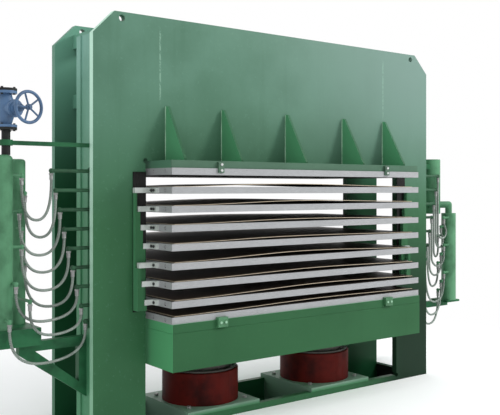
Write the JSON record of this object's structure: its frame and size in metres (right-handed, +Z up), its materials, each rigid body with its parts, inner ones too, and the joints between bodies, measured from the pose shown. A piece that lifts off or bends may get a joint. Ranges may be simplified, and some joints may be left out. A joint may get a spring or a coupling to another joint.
{
  "type": "hot press",
  "caption": "Hydraulic hot press for board: a green window frame around a stack of heated platens that a ram-lifted table closes, with steam headers and braided hoses.",
  "frame": {"origin": "under the middle of the press, in the plane of the frame's feet at the bottom of its pit", "axes": "+X along the long side of the platens, away from the handwheel valve; -Y is the loading front; +Z up"},
  "size_m": [5.025, 1.464, 4.22],
  "materials": {
    "frame_green": "painted",
    "web_green": "painted",
    "platen_steel": "ground",
    "sheet_steel": "satin",
    "lug_steel": "painted",
    "black_steel": "greasy",
    "cylinder_red": "painted",
    "ram_steel": "ground",
    "pipe_grey": "painted",
    "hose_braid": "braided",
    "header_green": "painted",
    "valve_blue": "painted"
  },
  "bodies": {
    "root": {"frame_front": "frame_green", "frame_rear": "frame_green", "side_webs": "web_green", "cross_ties": "frame_green", "ledge_plate": "frame_green", "gussets": "frame_green", "platen_top": "platen_steel", "ladders": "frame_green", "guide_strips": "black_steel", "cylinders": "cylinder_red", "gland_rings": "ram_steel", "sill_plates": "frame_green", "sill_bolts": "black_steel", "clamp_dogs_top": "lug_steel", "pipes_top": "pipe_grey", "left_headers": "header_green", "riser_pipe": "black_steel", "gate_valve": "valve_blue", "header_bracket": "header_green", "tie_bar": "header_green", "right_header": "header_green", "right_bracket": "header_green", "hoses_left": "hose_braid", "hoses_right": "hose_braid"},
    "level_1": {"platen_1": "platen_steel", "lugs_1": "lug_steel", "pipes_1": "pipe_grey", "sheet_1": "sheet_steel"},
    "level_2": {"platen_2": "platen_steel", "lugs_2": "lug_steel", "pipes_2": "pipe_grey", "sheet_2": "sheet_steel"},
    "level_3": {"platen_3": "platen_steel", "lugs_3": "lug_steel", "pipes_3": "pipe_grey", "sheet_3": "sheet_steel"},
    "level_4": {"platen_4": "platen_steel", "lugs_4": "lug_steel", "pipes_4": "pipe_grey", "sheet_4": "sheet_steel"},
    "level_5": {"platen_5": "platen_steel", "lugs_5": "lug_steel", "pipes_5": "pipe_grey", "sheet_5": "sheet_steel"},
    "level_6": {"platen_6": "platen_steel", "lugs_6": "lug_steel", "pipes_6": "pipe_grey", "sheet_6": "sheet_steel"},
    "level_7": {"platen_7": "platen_steel", "lugs_7": "lug_steel", "pipes_7": "pipe_grey", "sheet_7": "sheet_steel"},
    "table": {"moving_beam": "frame_green", "table_cover": "frame_green", "platen_table": "platen_steel", "clamp_dogs_table": "lug_steel", "rams": "ram_steel", "pipes_table": "pipe_grey", "sheet_8": "sheet_steel"},
    "wheel": {"handwheel": "valve_blue"}
  },
  "joints": [
    {"name": "table_lift", "type": "slide", "parent": "root", "child": "table", "axis": [0, 0, 1], "range_m": [0, 0.608], "deforming": ["sheet_8"]},
    {"name": "lift_1", "type": "slide", "parent": "root", "child": "level_1", "axis": [0, 0, 1], "range_m": [0, 0.079], "deforming": ["sheet_1"]},
    {"name": "lift_2", "type": "slide", "parent": "root", "child": "level_2", "axis": [0, 0, 1], "range_m": [0, 0.158], "deforming": ["sheet_2"]},
    {"name": "lift_3", "type": "slide", "parent": "root", "child": "level_3", "axis": [0, 0, 1], "range_m": [0, 0.237], "deforming": ["sheet_3"]},
    {"name": "lift_4", "type": "slide", "parent": "root", "child": "level_4", "axis": [0, 0, 1], "range_m": [0, 0.316], "deforming": ["sheet_4"]},
    {"name": "lift_5", "type": "slide", "parent": "root", "child": "level_5", "axis": [0, 0, 1], "range_m": [0, 0.395], "deforming": ["sheet_5"]},
    {"name": "lift_6", "type": "slide", "parent": "root", "child": "level_6", "axis": [0, 0, 1], "range_m": [0, 0.474], "deforming": ["sheet_6"]},
    {"name": "lift_7", "type": "slide", "parent": "root", "child": "level_7", "axis": [0, 0, 1], "range_m": [0, 0.553], "deforming": ["sheet_7"]},
    {"name": "valve_wheel", "type": "hinge", "parent": "root", "child": "wheel", "pos_m": [-2.38109, -0.53831, 3.445], "axis": [0.2756, -0.9613, 0], "range_deg": [-1080, 1080]}
  ],
  "couplings": [
    {"joint": "lift_1", "follows": "table_lift", "ratio": 0.12993},
    {"joint": "lift_2", "follows": "table_lift", "ratio": 0.25987},
    {"joint": "lift_3", "follows": "table_lift", "ratio": 0.3898},
    {"joint": "lift_4", "follows": "table_lift", "ratio": 0.51974},
    {"joint": "lift_5", "follows": "table_lift", "ratio": 0.64967},
    {"joint": "lift_6", "follows": "table_lift", "ratio": 0.77961},
    {"joint": "lift_7", "follows": "table_lift", "ratio": 0.90954}
  ]
}
